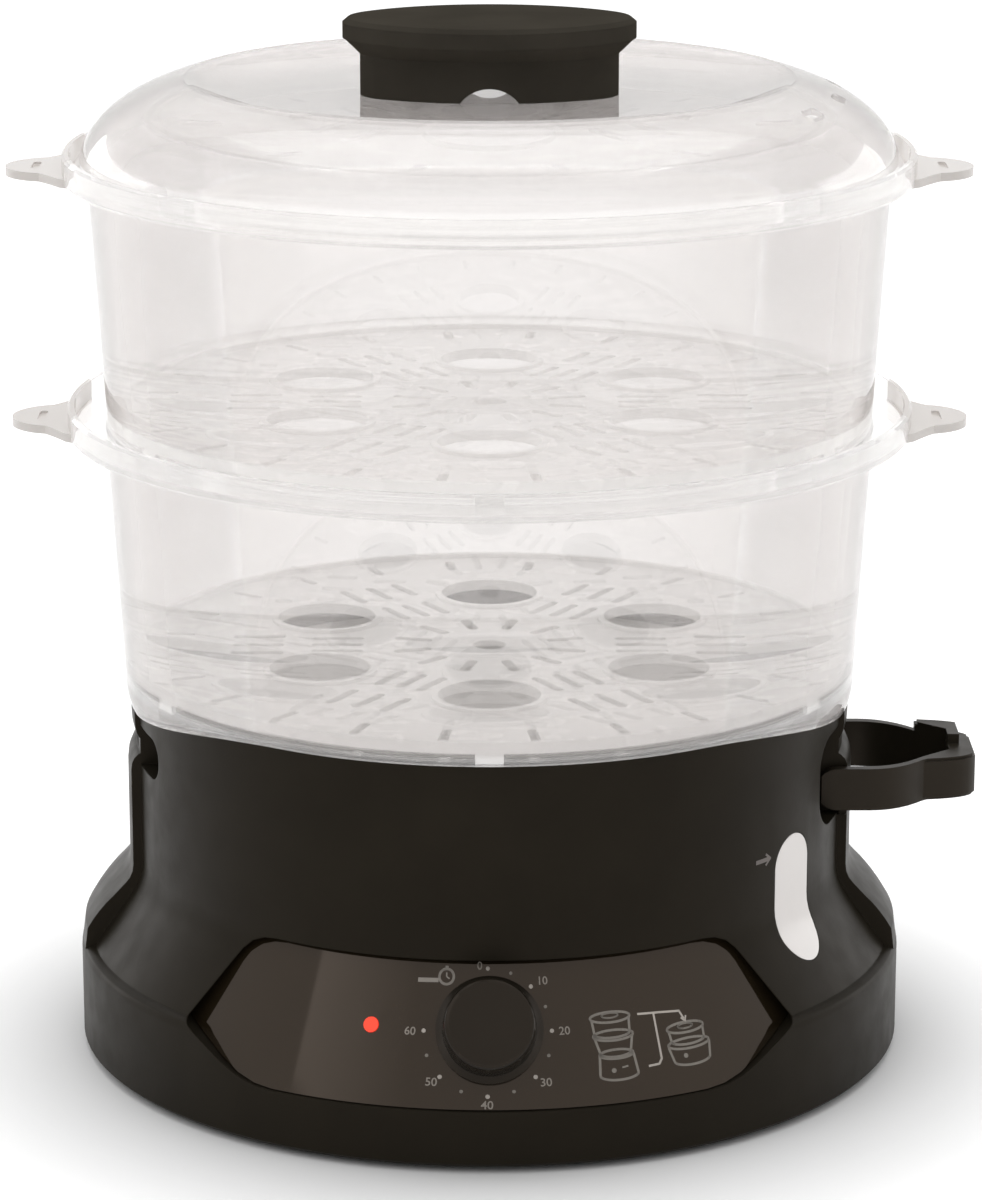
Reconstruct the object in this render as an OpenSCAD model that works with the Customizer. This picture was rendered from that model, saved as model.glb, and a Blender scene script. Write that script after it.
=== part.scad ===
// Two-tier electric steamer and egg cooker: black base with a 60 minute timer,
// two clear stacking bowls with loose grids, and a clear lid with an oval grip.
// Origin: centre of the circle the feet stand on. +Z is up, -Y is the front.

/* [Base] */
// Outer radius of the lowest ring of the base
ring_r = 125; // [118:0.5:140]
// Height of the step at the top of that ring
ring_top = 31; // [29:0.5:34]
// How far the upright drum lies inside that ring
shoulder_run = 18; // [16:0.5:19]
// Height of the drum's rim at the front
rim_z = 115; // [113:0.5:122]
// Height at which the sloping shoulder meets the drum
shoulder_top = 54; // [52:0.5:58]
// Moulding wall of the base
wall = 3; // [2.5:0.1:3.2]
// Half width of the flat middle of the rim
rim_flat = 60; // [50:1:70]
// Radius of the curve by which the rim falls to the sides
rim_curve_r = 120; // [110:1:160]

/* [Side blocks and storage clip] */
// Half width of the side blocks
block_half = 23; // [21:0.5:26]
// How far the side blocks stand out from the drum
block_step = 2.8; // [2.3:0.1:3.5]
// Height of the clip's hinge
hinge_z = 82.6; // [81.5:0.1:84.5]
// Height of the clip's band
band_h = 12.9; // [11:0.1:14]
// Thickness of the clip's band
band_t = 3.2; // [2.6:0.1:3.6]
// Length of the clip from its hinge to its tip
clip_len = 42.9; // [39:0.1:48]
// Radius of the hinge pins
pin_r = 1.8; // [1.4:0.1:2.2]

/* [Control panel and timer] */
// Tilt of the panel from upright, in degrees
panel_tilt = 28; // [26:0.5:30]
// Thickness of the facia
facia_t = 2.5; // [2:0.1:3]
// Half width of the panel, from its middle to the point at its end
panel_half = 88; // [84:0.5:89]
// Radius of the knob's skirt
knob_r = 15.3; // [13:0.1:17]
// How far the knob stands out
knob_h = 15; // [12:0.5:18]
// Radius of the timer's shaft
shaft_r = 3; // [2.5:0.1:3.5]
// Radius of the pilot lamp's lens
lamp_r = 2.2; // [1.8:0.1:3]

/* [Water tank and heater] */
// How far the water tank's wall lies inside the drum's outer face
tank_inset = 10; // [10:0.5:15]
// Height of the inside of the tank's floor
tank_floor = 50; // [49:0.5:56]
// Wall of the tank
tank_wall = 2.5; // [2:0.1:3]
// Radius of the heater plate
heater_r = 34; // [28:0.5:40]
// Angle of the water window from the front, in degrees
window_angle = 56; // [54:0.5:60]
// Half width of the water window
window_half = 9.2; // [7:0.1:10]
// Height of the window's top
window_top = 79.5; // [74:0.5:84]

/* [Bowls and lid] */
// Height of one bowl from rim to rim
tier = 75.3; // [70:0.1:90]
// Wall of the bowls and the lid
bowl_wall = 2; // [1.6:0.1:2.4]
// How far the rims stand out beyond the upper bowl's wall
rim_width = 7.3; // [6:0.1:12]
// Height of a bowl's rim
lip_h = 8; // [6:0.5:10]
// How far the lower bowl's foot stands out round the drum
foot_step = 3; // [2.5:0.1:4]
// How far the upper bowl's foot stands out beyond the lower one's
upper_step = 3.8; // [3.2:0.1:4.6]
// How much wider a bowl is at the top than at its foot
bowl_flare = 4.4; // [3.5:0.1:5]
// Length of an ear, from the rim to its tip
ear_len = 17; // [12:0.5:22]
// Height of the lid above the rim that it stands on
lid_rise = 27; // [24:0.5:32]
// How far the ridge round the lid's dished middle lies inside the lid's edge
ridge_inset = 30.9; // [26:0.1:36]

/* [Lid handle] */
// Half length of the grip
grip_a = 43; // [38:0.5:48]
// Half depth of the grip
grip_b = 30.5; // [27:0.5:34]
// Height of the whole handle
handle_h = 22.5; // [20:0.5:26]

/* [Fit] */
// Gap between parts that lift or swing past each other
gap = 0.3; // [0.2:0.05:0.5]
// Radial running clearance of pins and shafts
running = 0.05; // [0.02:0.01:0.1]

/* [Hidden] */
$fn = 96;
far = 400;

// base
drum_r = ring_r - shoulder_run;
block_r = drum_r + block_step;
foot_h = 1.5;
foot_r = 8;
foot_recess = 1;
cover_t = 2.5;
cover_seat = foot_h + cover_t;
ring_bevel = 1;
step_w = 3.4;
shoulder_r = ring_r - step_w;
shoulder_low = ring_top + 1.2;
body_top = rim_z + 1;

// cord's hole and its grommet
cord_z = 14;
cord_r = 5;

// screws and their posts
screw_r = 1.6;
screw_fit = 0.1;
post_r = 4;
cover_posts = [22, 90, 140, 220, 270, 338];
cover_post_h = 13.5;
cover_post_at = ring_r - wall - post_r - 3;
tank_posts = [25, 155, 205, 335];

// control panel: a cone that leans back, set into the base
panel_low = 18.3;
panel_high = shoulder_top + 3;
panel_low_r = ring_r - 0.7;
function panel_r(z) = panel_low_r - (z - panel_low) * tan(panel_tilt);
panel_mid = (panel_low + panel_high) / 2 + 0.8;
panel_depth = 4;
bay_wall = 2;
panel_low_half = panel_half - 17.5;
panel_high_half = panel_half - 21;
panel_point_z = ring_top + 0.4;
panel_cuts = [8, 8, 1.5, 6, 6, 1.5];
lamp_x = -33.6;
bush_r = shaft_r + 1.4;
nut_r = bush_r + 3;
nut_t = 2.4;

// clip and its pocket
pocket_floor_r = drum_r - 7;
pocket_back = 2.4;
pocket_half = 44;
pocket_low = hinge_z - band_h / 2 - 1.2;
pocket_high = hinge_z + 19.6;
left_pocket_low = hinge_z + 7;
pocket_corner_r = 9;
arm_in = block_half + 0.6;
arm_out = arm_in + band_t;
hinge_x = sqrt(pow(pocket_floor_r, 2) - pow(arm_in, 2)) + band_h / 2 + 0.5;
clip_reach = hinge_x + clip_len;
block_top = hinge_z + 10;
pin_length = 8;

// tank
tank_r = drum_r - tank_inset;
tank_top = rim_z - 12.5;
tank_flange_t = 2.5;
tank_flange_z = tank_top - tank_flange_t;
tank_flange_r = drum_r - wall - gap;
shelf_t = 3;
key_r = pocket_floor_r - pocket_back - gap;
tank_screw_at = (tank_r + tank_flange_r) / 2 + 0.2;
window_low = panel_point_z + 11;
window_flange = 1.6;
gasket_t = 1.2;
chamber_wall = 2;
hub_r = heater_r - 5.5;
heater_gasket_t = 1.2;

// tray and turbo ring
tray_r = tank_r;
tray_z = tank_top + gap;
tray_t = 2;
turbo_r = 43;

// bowls
lower_foot_r = drum_r + foot_step;
upper_foot_r = lower_foot_r + upper_step;
bowl_rim_r = upper_foot_r + bowl_flare + rim_width;
ear_reach = bowl_rim_r + ear_len;
ledge_t = 2;
lower_rim = rim_z + tier - 1.3;
upper_rim = lower_rim + tier;
lower_foot_z = rim_z + gap;
upper_foot_z = lower_rim + ledge_t + gap;
lower_mouth_r = lower_foot_r + bowl_flare - bowl_wall;
upper_mouth_r = upper_foot_r + bowl_flare - bowl_wall;
grid_t = 2;
grid_ledge = 9;
tab_w = 8;
tab_h = 3;
ear_t = 2.5;
ear_root_half = 29;
ear_tip_r = 15;

// lid and handle
lid_seat = upper_rim + ledge_t + gap;
lid_top = lid_seat + lid_rise;
lid_r = upper_mouth_r + 4.2;
dish_z = lid_top - 5.7;
ridge_r = lid_r - ridge_inset;

// ---------- helpers ----------

function bezier(a, b, c, n) =
    [for (i = [0:n]) let (t = i / n) a * (1 - t) * (1 - t) + b * 2 * t * (1 - t) + c * t * t];

module revolve(points) {
    rotate_extrude() polygon(points);
}

module upright_slab(half_y) {
    translate([-far / 2, -half_y, -far / 2]) cube([far, 2 * half_y, far]);
}

// extrudes a front outline (x to the right, y up) along the whole depth
module front_prism(low_y, high_y) {
    translate([0, high_y, 0]) rotate([90, 0, 0]) linear_extrude(high_y - low_y) children();
}

// extrudes an outline seen from the side (x is the part's Y, y is its Z) along X
module side_prism(low_x, high_x) {
    translate([low_x, 0, 0]) rotate([90, 0, 90]) linear_extrude(high_x - low_x) children();
}

module rounded_rect(low, high, r) {
    translate([low[0] + r, low[1]]) square([high[0] - low[0] - 2 * r, high[1] - low[1]]);
    translate([low[0], low[1] + r]) square([high[0] - low[0], high[1] - low[1] - 2 * r]);
    for (x = [low[0] + r, high[0] - r], y = [low[1] + r, high[1] - r])
        translate([x, y]) circle(r);
}

// four-arc oval with half axes a and b and end radius r
module oval(a, b, r) {
    c = a - r;
    big = (c * c + b * b - r * r) / (2 * (b - r));
    touch = c + r * c / (big - r);
    for (s = [-1, 1]) translate([s * c, 0]) circle(r);
    intersection() {
        translate([0, b - big]) circle(big);
        translate([0, big - b]) circle(big);
        square([2 * touch, 4 * b], center = true);
    }
}

// everything below the curved rim of the base, raised by lift
module below_rim(lift) {
    front_prism(-far / 2, far / 2) {
        translate([-rim_flat, -rim_curve_r]) square([2 * rim_flat, rim_z + lift + rim_curve_r]);
        for (s = [-1, 1])
            translate([s * rim_flat, rim_z - rim_curve_r]) circle(rim_curve_r + lift, $fn = 180);
    }
}

// places children on the panel: origin on its face, +Z pointing out of it
module on_panel(x = 0, along = 0) {
    z = panel_mid + along * cos(panel_tilt);
    rotate([0, 0, asin(x / panel_r(z))]) translate([0, -panel_r(z), z])
        rotate([90 - panel_tilt, 0, 0]) children();
}

module tube(low, high, in_r, out_r) {
    translate([0, 0, low]) difference() {
        cylinder(high - low, out_r, out_r);
        translate([0, 0, -1]) cylinder(high - low + 2, in_r, in_r);
    }
}

// corners of the panel's outline in front view, from the lower left one round
function panel_corners(grow) =
    [[-panel_low_half - grow, panel_low - grow], [panel_low_half + grow, panel_low - grow],
     [panel_half + 1.3 * grow, panel_point_z], [panel_high_half + grow, panel_high + grow],
     [-panel_high_half - grow, panel_high + grow], [-panel_half - 1.3 * grow, panel_point_z]];

function toward(p, q, d) = p + (q - p) * d / norm(q - p);

module panel_outline(grow) {
    c = panel_corners(grow);
    polygon([for (i = [0:5]) let (cut = panel_cuts[i])
        each bezier(toward(c[i], c[(i + 5) % 6], cut), c[i], toward(c[i], c[(i + 1) % 6], cut), 3)]);
}

// solid cone whose face lies inset under the facia's face
module panel_cone(inset) {
    z0 = panel_low - 8;
    z1 = panel_high + 8;
    back = inset / cos(panel_tilt);
    translate([0, 0, z0]) cylinder(z1 - z0, panel_r(z0) - back, panel_r(z1) - back);
}

// ---------- base ----------

module body_solid() {
    revolve(concat([[0, foot_h], [ring_r - ring_bevel, foot_h], [ring_r, foot_h + ring_bevel]],
                   bezier([ring_r, ring_top - 2], [ring_r, ring_top + 1], [shoulder_r, shoulder_low], 4),
                   bezier([drum_r + 3.2, shoulder_top - 5], [drum_r, shoulder_top],
                          [drum_r, shoulder_top + 5], 4),
                   [[drum_r, body_top], [0, body_top]]));
}

// the space inside the base's moulding, shrunk sideways by inset
module body_hollow(inset = 0) {
    lift = inset > 0 ? 0 : 1;
    revolve([[0, foot_h - 1], [ring_r - wall - inset, foot_h - 1],
             [ring_r - wall - inset, ring_top - wall + 1],
             [shoulder_r - wall - inset, shoulder_low - wall + 2],
             [drum_r - wall - inset, shoulder_top], [drum_r - wall - inset, body_top + lift],
             [0, body_top + lift]]);
}

module side_block() {
    intersection() {
        revolve(concat([[drum_r - 1, ring_top], [ring_r - 0.4, ring_top]],
                       bezier([ring_r - 1.2, ring_top + 6.5], [ring_r - 4.5, ring_top + 12.5],
                              [block_r + 6, shoulder_top - 6], 4),
                       bezier([block_r + 2.4, shoulder_top - 2], [block_r, shoulder_top + 0.5],
                              [block_r, shoulder_top + 4], 3),
                       bezier([block_r, block_top - 5], [block_r, block_top - 0.5],
                              [drum_r - 1, block_top + 0.8], 4)));
        upright_slab(block_half);
        translate([0, -far / 2, 0]) cube([far, far, far]);
    }
}

// lug over the block, right under the rim
module rim_lug() {
    lug_low = block_top + 4.4;
    intersection() {
        revolve(concat([[drum_r - 1, lug_low]],
                       bezier([drum_r - 0.5, lug_low], [drum_r + 1.4, lug_low + 1.5],
                              [drum_r + 1.5, lug_low + 6], 4),
                       [[drum_r + 1.5, body_top], [drum_r - 1, body_top]]));
        upright_slab(block_half);
        translate([0, -far / 2, 0]) cube([far, far, far]);
    }
}

module pocket_outline(grow, low, high) {
    corner_r = min(pocket_corner_r, (high - low) / 2 - 0.3);
    rounded_rect([-pocket_half - grow, low - grow], [pocket_half + grow, high + grow], corner_r + grow);
}

module pocket_backing(low, high) {
    intersection() {
        side_prism(0, far / 2) pocket_outline(pocket_back, low, high);
        tube(0, body_top, pocket_floor_r - pocket_back, drum_r - 1);
    }
}

module pocket_cut(low, high) {
    difference() {
        side_prism(0, far / 2) pocket_outline(0, low, high);
        cylinder(body_top, pocket_floor_r, pocket_floor_r);
        upright_slab(block_half);
    }
}

module window_outline(grow) {
    r = window_half + grow;
    translate([-r, window_low + window_half])
        square([2 * r, window_top - window_low - 2 * window_half]);
    for (z = [window_low + window_half, window_top - window_half])
        translate([0, z]) circle(r);
}

// the window's outline pushed outwards at the window's angle
module window_prism(grow) {
    rotate([0, 0, window_angle]) front_prism(-far / 2, 0) window_outline(grow);
}

module at_tank_screws() {
    for (a = tank_posts) rotate([0, 0, a]) translate([0, -tank_screw_at, 0]) children();
}

module at_cover_posts() {
    for (a = cover_posts) rotate([0, 0, a]) translate([0, -cover_post_at, 0]) children();
}

// walls and floor of the recess that the facia sits in
module bay_frame() {
    difference() {
        intersection() {
            body_solid();
            front_prism(-far / 2, 0) panel_outline(bay_wall + 0.5);
        }
        panel_cone(panel_depth + bay_wall);
        cylinder(body_top, tank_r + gap, tank_r + gap);
    }
}

module bay_cut() {
    difference() {
        front_prism(-far / 2, 0) panel_outline(0);
        panel_cone(panel_depth);
    }
}

// shelf inside the drum that the tank hangs on
module tank_shelf() {
    tube(tank_flange_z - shelf_t, tank_flange_z, tank_r + gap, drum_r - 1);
    intersection() {
        at_tank_screws() translate([0, 0, tank_flange_z - 12]) cylinder(12, post_r - 0.8, post_r - 0.8);
        tube(tank_flange_z - 12, tank_flange_z, tank_r + gap, drum_r - 1);
    }
}

// posts for the cover's screws, each tied to the outer wall by a rib
module cover_post_set() {
    at_cover_posts() translate([0, 0, cover_seat]) {
        cylinder(cover_post_h, post_r, post_r);
        translate([-1.5, -post_r - wall - 1, 1]) cube([3, post_r + wall + 1, cover_post_h - 1]);
    }
}

// slot over the left block that takes a bowl's ear when the set is packed away
module catch_slot() {
    slot_low = block_top + 1;
    side_prism(pocket_floor_r, far / 2)
        rounded_rect([4 - block_half, slot_low], [block_half - 4, slot_low + 3.4], 1.2);
}

// the clip's two stub pins, or their bores in the block
module clip_pivots(r, length) {
    for (s = [-1, 1])
        translate([hinge_x, s * (arm_in + 0.5), hinge_z])
            rotate([90 * s, 0, 0]) cylinder(length, r, r);
}

// small ledges on the block that stop the clip when it is level
module clip_stops() {
    top = hinge_z - band_h / 2 - 0.15;
    edge = arm_in + band_t / 2;
    for (m = [0, 1]) mirror([0, m, 0]) side_prism(hinge_x + 0.6, hinge_x + 3)
        polygon([[block_half - 1, top - 3], [edge, top - 1.2], [edge, top], [block_half - 1, top]]);
}

module base_body() {
    color("#2c2924")
    union() {
        moulded_body();
        clip_stops();
    }
}

module moulded_body() {
    difference() {
        intersection() {
            union() {
                difference() {
                    body_solid();
                    body_hollow();
                }
                for (m = [0, 1]) mirror([m, 0, 0]) {
                    side_block();
                    rim_lug();
                }
                pocket_backing(pocket_low, pocket_high);
                mirror([1, 0, 0]) pocket_backing(left_pocket_low, pocket_high);
                bay_frame();
                tank_shelf();
                cover_post_set();
            }
            below_rim(0);
        }
        pocket_cut(pocket_low, pocket_high);
        mirror([1, 0, 0]) pocket_cut(left_pocket_low, pocket_high);
        mirror([1, 0, 0]) catch_slot();
        clip_pivots(pin_r + running, pin_length + gap);
        bay_cut();
        on_panel() translate([0, 0, -panel_depth - 6]) cylinder(12, bush_r + 0.2, bush_r + 0.2);
        on_panel(lamp_x) translate([0, 0, -panel_depth - 6]) cylinder(12, lamp_r + 1.2, lamp_r + 1.2);
        on_panel() timer_case(timer_fit);
        window_prism(gap / 2);
        at_tank_screws() translate([0, 0, tank_flange_z - 9])
            cylinder(12, screw_r + screw_fit, screw_r + screw_fit);
        at_cover_posts() translate([0, 0, foot_h])
            cylinder(cover_post_h + 1, screw_r + screw_fit, screw_r + screw_fit);
        cord_bore(cord_r + 0.1);
    }
}

module cord_bore(r) {
    translate([0, ring_r - wall - 4, cord_z]) rotate([-90, 0, 0]) cylinder(wall + 8, r, r);
}

// round step of the grommet, from its place behind the ring's outer face
module grommet_step(from, length, r1, r2) {
    translate([0, ring_r + from, cord_z]) rotate([-90, 0, 0]) cylinder(length, r1, r2);
}

module cord_grommet() {
    color("#1c1b19")
    difference() {
        union() {
            grommet_step(-wall - 2.2, wall + 2, cord_r, cord_r);
            grommet_step(-wall - 2.2, 1.6, cord_r + 1.5, cord_r + 1.5);
            grommet_step(-0.8, 1, cord_r, cord_r);
            grommet_step(0.1, 3.9, cord_r + 2, cord_r + 0.8);
        }
        cord_bore(cord_r - 1.8);
    }
}

module bottom_cover() {
    cover_r = ring_r - wall - gap;
    vent_len = 26;
    rib_h = 3;
    color("#24211d")
    difference() {
        union() {
            translate([0, 0, foot_h]) cylinder(cover_t, cover_r, cover_r);
            for (a = [0:60:300]) rotate([0, 0, a]) translate([20, -1, cover_seat - 0.5]) cube([60, 2, rib_h]);
            tube(cover_seat - 0.5, cover_seat + rib_h - 0.5, 20, 22);
        }
        for (x = [-40:10:40], s = [-1, 1])
            translate([x - 1.5, s * 58 - vent_len / 2, foot_h - 1]) cube([3, vent_len, cover_t + rib_h + 2]);
        at_cover_posts() {
            translate([0, 0, foot_h - 1]) cylinder(cover_t + 2, screw_r + 0.3, screw_r + 0.3);
            translate([0, 0, foot_h - 1]) cylinder(2, screw_r + 2, screw_r + 2);
        }
        at_feet() translate([0, 0, foot_h - 1]) cylinder(1 + foot_recess, foot_r + gap, foot_r + gap);
    }
}

module at_feet() {
    for (a = [35, 145, 215, 325]) rotate([0, 0, a]) translate([0, -(ring_r - 28), 0]) children();
}

module feet() {
    color("#3a3733")
    at_feet() difference() {
        cylinder(foot_h + foot_recess, foot_r, foot_r);
        translate([0, 0, -1]) cylinder(1.8, foot_r - 4, foot_r - 4);
    }
}

module cover_screws() {
    color("silver")
    at_cover_posts() difference() {
        union() {
            translate([0, 0, foot_h + 0.2]) cylinder(0.8, screw_r + 1.5, screw_r + 1.5);
            translate([0, 0, foot_h + 1]) cylinder(cover_post_h - 1, screw_r, screw_r);
        }
        translate([-0.3, -1.8, 0]) cube([0.6, 3.6, foot_h + 0.6]);
        translate([-1.8, -0.3, 0]) cube([3.6, 0.6, foot_h + 0.6]);
    }
}

// ---------- water tank, window and heater ----------

module water_tank() {
    in_r = tank_r - tank_wall;
    color("#2a2723")
    difference() {
        union() {
            translate([0, 0, tank_floor - tank_wall])
                cylinder(tank_top - tank_floor + tank_wall, tank_r, tank_r);
            tank_flange();
            gauge_chamber();
        }
        translate([0, 0, tank_floor]) cylinder(far, in_r, in_r);
        gauge_cut();
        cylinder(far, hub_r + 0.3, hub_r + 0.3);
        at_tank_screws() {
            translate([0, 0, tank_flange_z - 1]) cylinder(far, screw_r + 0.3, screw_r + 0.3);
            translate([0, 0, tank_top - 1.2]) cylinder(far, screw_r + 1.2, screw_r + 1.2);
        }
    }
}

// flange of the tank, cut away where the pockets reach into the drum
module tank_flange() {
    key_half = pocket_half + pocket_back + 1;
    difference() {
        tube(tank_flange_z, tank_top, tank_r - tank_wall, tank_flange_r);
        difference() {
            translate([-far / 2, -key_half, 0]) cube([far, 2 * key_half, far]);
            cylinder(far, key_r, key_r);
        }
    }
}

// box on the tank's side that brings the water to the window
module gauge_chamber() {
    intersection() {
        window_prism(0.4);
        body_hollow(window_flange + gasket_t + 0.2);
        tube(0, far, tank_r - 1, far);
    }
}

module gauge_cut() {
    intersection() {
        window_prism(0.4 - chamber_wall);
        union() {
            tube(tank_floor, far, tank_r - tank_wall - 1, far);
            tube(0, tank_floor + 1, tank_r + chamber_wall - 1, far);
        }
    }
}

module tank_screws() {
    color("silver")
    at_tank_screws() {
        translate([0, 0, tank_top - 1.2]) cylinder(1, screw_r + 1, screw_r + 1);
        translate([0, 0, tank_flange_z - 8.5]) cylinder(8.5 + tank_flange_t - 1.2, screw_r, screw_r);
    }
}

// the part of the window's outline between two insets from the drum's inside
module window_layer(grow, near, deep) {
    difference() {
        intersection() {
            window_prism(grow);
            body_hollow(near);
        }
        body_hollow(deep);
    }
}

module level_window() {
    color("#dfd9d5")
    union() {
        difference() {
            intersection() {
                window_prism(0);
                body_solid();
            }
            body_hollow(0.1);
        }
        window_layer(2.2, 0.1, window_flange);
    }
}

module window_gasket() {
    color("#b9b4ad")
    difference() {
        window_layer(0.4, window_flange + 0.1, window_flange + gasket_t);
        window_prism(0.4 - chamber_wall);
    }
}

module heater_plate() {
    seat = tank_floor + heater_gasket_t;
    color("#c9c9c7")
    revolve([[0, tank_floor - 6], [hub_r, tank_floor - 6], [hub_r, seat], [heater_r, seat],
             [heater_r, seat + 1.4], [heater_r - 0.8, seat + 2], [hub_r - 1, seat + 2],
             [hub_r - 4, seat + 6], [8, seat + 7], [0, seat + 7]]);
}

module heater_gasket() {
    color("#c8562f")
    tube(tank_floor, tank_floor + heater_gasket_t, hub_r + 0.4, heater_r - 0.5);
}

module heater_clamp() {
    color("silver")
    difference() {
        tube(tank_floor - 6, tank_floor - tank_wall, hub_r + 0.1, heater_r + 2);
        for (a = [0:60:300]) rotate([0, 0, a]) translate([heater_r, -2, 0]) cube([6, 4, far]);
    }
}

heating_tube_r = 3.5;
heating_tube_z = tank_floor - 6 - heating_tube_r;
tube_ring_r = 21;

module heating_tube() {
    open = 50;
    color("#8d8b88")
    union() {
        translate([0, 0, heating_tube_z])
            rotate([0, 0, -90 + open / 2]) rotate_extrude(angle = 360 - open)
                translate([tube_ring_r, 0]) circle(heating_tube_r);
        for (s = [-1, 1]) rotate([0, 0, s * open / 2])
            translate([0, -tube_ring_r, heating_tube_z - 14]) cylinder(14, 1.6, 1.6);
    }
}

module thermostat() {
    top = tank_floor - 6.05;
    color("#d8d4c8")
    union() {
        translate([0, 0, top - 6]) cylinder(6, 8, 8);
        translate([0, 0, top - 9]) cylinder(3.5, 6, 6);
        for (s = [-1, 1]) translate([s * 3.5 - 0.4, -3, top - 17]) cube([0.8, 6, 9]);
    }
}

module thermal_fuse() {
    color("#b8c0c4")
    translate([12.6, -7, tank_floor - 8.1]) rotate([-90, 0, 0]) cylinder(14, 2, 2);
}

module terminal_block() {
    poles = 3;
    pitch = 11;
    depth = 16;
    height = 15;
    front = tank_r - depth - 5;
    color("#e7e2d6")
    difference() {
        translate([-poles * pitch / 2, front, cover_seat]) cube([poles * pitch, depth, height]);
        for (i = [0:poles - 1]) translate([(i - (poles - 1) / 2) * pitch, 0, 0]) {
            translate([0, front + depth * 0.3, cover_seat + 6]) cylinder(height, 2.4, 2.4);
            translate([0, front - 2, cover_seat + 6]) rotate([-90, 0, 0]) cylinder(depth + 4, 2, 2);
        }
    }
}

// ---------- control panel and timer ----------

module facia() {
    edge = gap;
    rim_w = 2;
    color("#1b1a18")
    difference() {
        intersection() {
            front_prism(-far / 2, 0) panel_outline(-edge);
            panel_cone(0);
        }
        panel_cone(panel_depth - 0.15);
        difference() {
            front_prism(-far / 2, 0) panel_outline(-edge - rim_w);
            difference() {
                panel_cone(-5);
                panel_cone(facia_t);
            }
        }
        on_panel() translate([0, 0, -12]) cylinder(24, nut_r + 0.6, nut_r + 0.6);
        on_panel(lamp_x) translate([0, 0, -12]) cylinder(24, lamp_r + 0.1, lamp_r + 0.1);
    }
}

timer_front = panel_depth + bay_wall + 0.2;
timer_depth = 24;
timer_fit = 0.15;

// the timer's box, lying under a flat seat cut in the back of the panel
module timer_case(grow) {
    half_w = 17 + grow;
    half_h = 14 + grow;
    translate([0, 0, -timer_front - timer_depth]) linear_extrude(timer_depth + grow)
        rounded_rect([-half_w, -half_h], [half_w, half_h], 3);
}

module timer_body() {
    color("#b9a46a")
    on_panel() difference() {
        union() {
            timer_case(0);
            translate([0, 0, -timer_front]) cylinder(timer_front - panel_depth + nut_t + 0.4, bush_r, bush_r);
            translate([0, 0, -timer_front - timer_depth - 3]) cylinder(3.5, 11, 11);
        }
        translate([0, 0, -timer_front - 14.2]) cylinder(40, shaft_r + running, shaft_r + running);
    }
}

module timer_nut() {
    color("silver")
    on_panel() difference() {
        translate([0, 0, 0.1 - panel_depth]) cylinder(nut_t, nut_r, nut_r, $fn = 6);
        translate([0, 0, -10]) cylinder(20, bush_r + 0.05, bush_r + 0.05);
    }
}

knob_lift = 0.6;

module timer_shaft() {
    low = -timer_front - 14;
    color("silver")
    on_panel() translate([0, 0, low]) cylinder(knob_lift + knob_h - 4 - low, shaft_r, shaft_r);
}

module timer_knob() {
    grip_r = knob_r - 2;
    skirt_h = 3;
    top = knob_lift + knob_h;
    color("#1f1d1b")
    on_panel() difference() {
        revolve(concat([[0, knob_lift], [knob_r, knob_lift], [knob_r, knob_lift + skirt_h - 1.2],
                        [grip_r + 0.6, knob_lift + skirt_h], [grip_r + 0.2, knob_lift + skirt_h + 0.4]],
                       bezier([grip_r - 0.3, top - 2], [grip_r - 0.4, top], [grip_r - 2.4, top], 4),
                       [[0, top - 0.4]]));
        translate([0, 0, knob_lift - 1]) cylinder(knob_h - 3 + 0.1, shaft_r + 0.02, shaft_r + 0.02);
        tube(knob_lift - 1, knob_lift + knob_h - 3, shaft_r + 2.2, grip_r - 2);
    }
}

module lamp_lens() {
    color("#e2451c")
    on_panel(lamp_x) union() {
        translate([0, 0, -facia_t]) cylinder(facia_t + 0.3, lamp_r, lamp_r);
        translate([0, 0, -facia_t - 0.8]) cylinder(0.75, lamp_r + 1, lamp_r + 1);
    }
}

module pilot_lamp() {
    color("#e8b59a")
    on_panel(lamp_x) union() {
        translate([0, 0, -panel_depth - 14]) cylinder(14.1, lamp_r + 1, lamp_r + 1);
        translate([0, 0, 0.1 - panel_depth]) cylinder(0.5, lamp_r + 2, lamp_r + 2);
    }
}

// ---------- storage clip ----------

// outline of the clip from above, to the right of the hinge, shrunk by t
function clip_at(share) = hinge_x + share * clip_len;

function clip_side(t) = concat(
    [[hinge_x - band_h / 2 + 1.6, arm_out - t]],
    bezier([clip_at(0.23), arm_out - t], [clip_at(0.41), arm_out - t],
           [clip_at(0.57), arm_out * 0.72 - t], 5),
    bezier([clip_at(0.61), arm_out * 0.645 - t], [clip_at(0.795) - t / 2, arm_out * 0.425 - t],
           [clip_at(0.863) - t / 2, arm_out * 0.22], 4));

module clip_loop(t) {
    side = clip_side(t);
    n = len(side);
    polygon(concat(side, [for (i = [1:n]) [side[n - i][0], -side[n - i][1]]]));
}

// plan of the grip that closes the loop, shrunk by t
module clip_grip(t) {
    side = concat([[clip_at(0.62) + t, arm_out * 0.3], [clip_at(0.62) + t, arm_out * 0.63 - t]],
                  bezier([clip_at(0.66), arm_out * 0.62 - t], [clip_reach - 2 - t, arm_out * 0.56 - t],
                         [clip_reach - t, arm_out * 0.36], 6));
    n = len(side);
    polygon(concat(side, [for (i = [1:n]) [side[n - i][0], -side[n - i][1]]]));
}

// band and grip in plan, without the space inside the loop
module clip_wall() {
    difference() {
        children();
        clip_loop(band_t);
        translate([0, -arm_in]) square([clip_at(0.23), 2 * arm_in]);
    }
}

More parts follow.
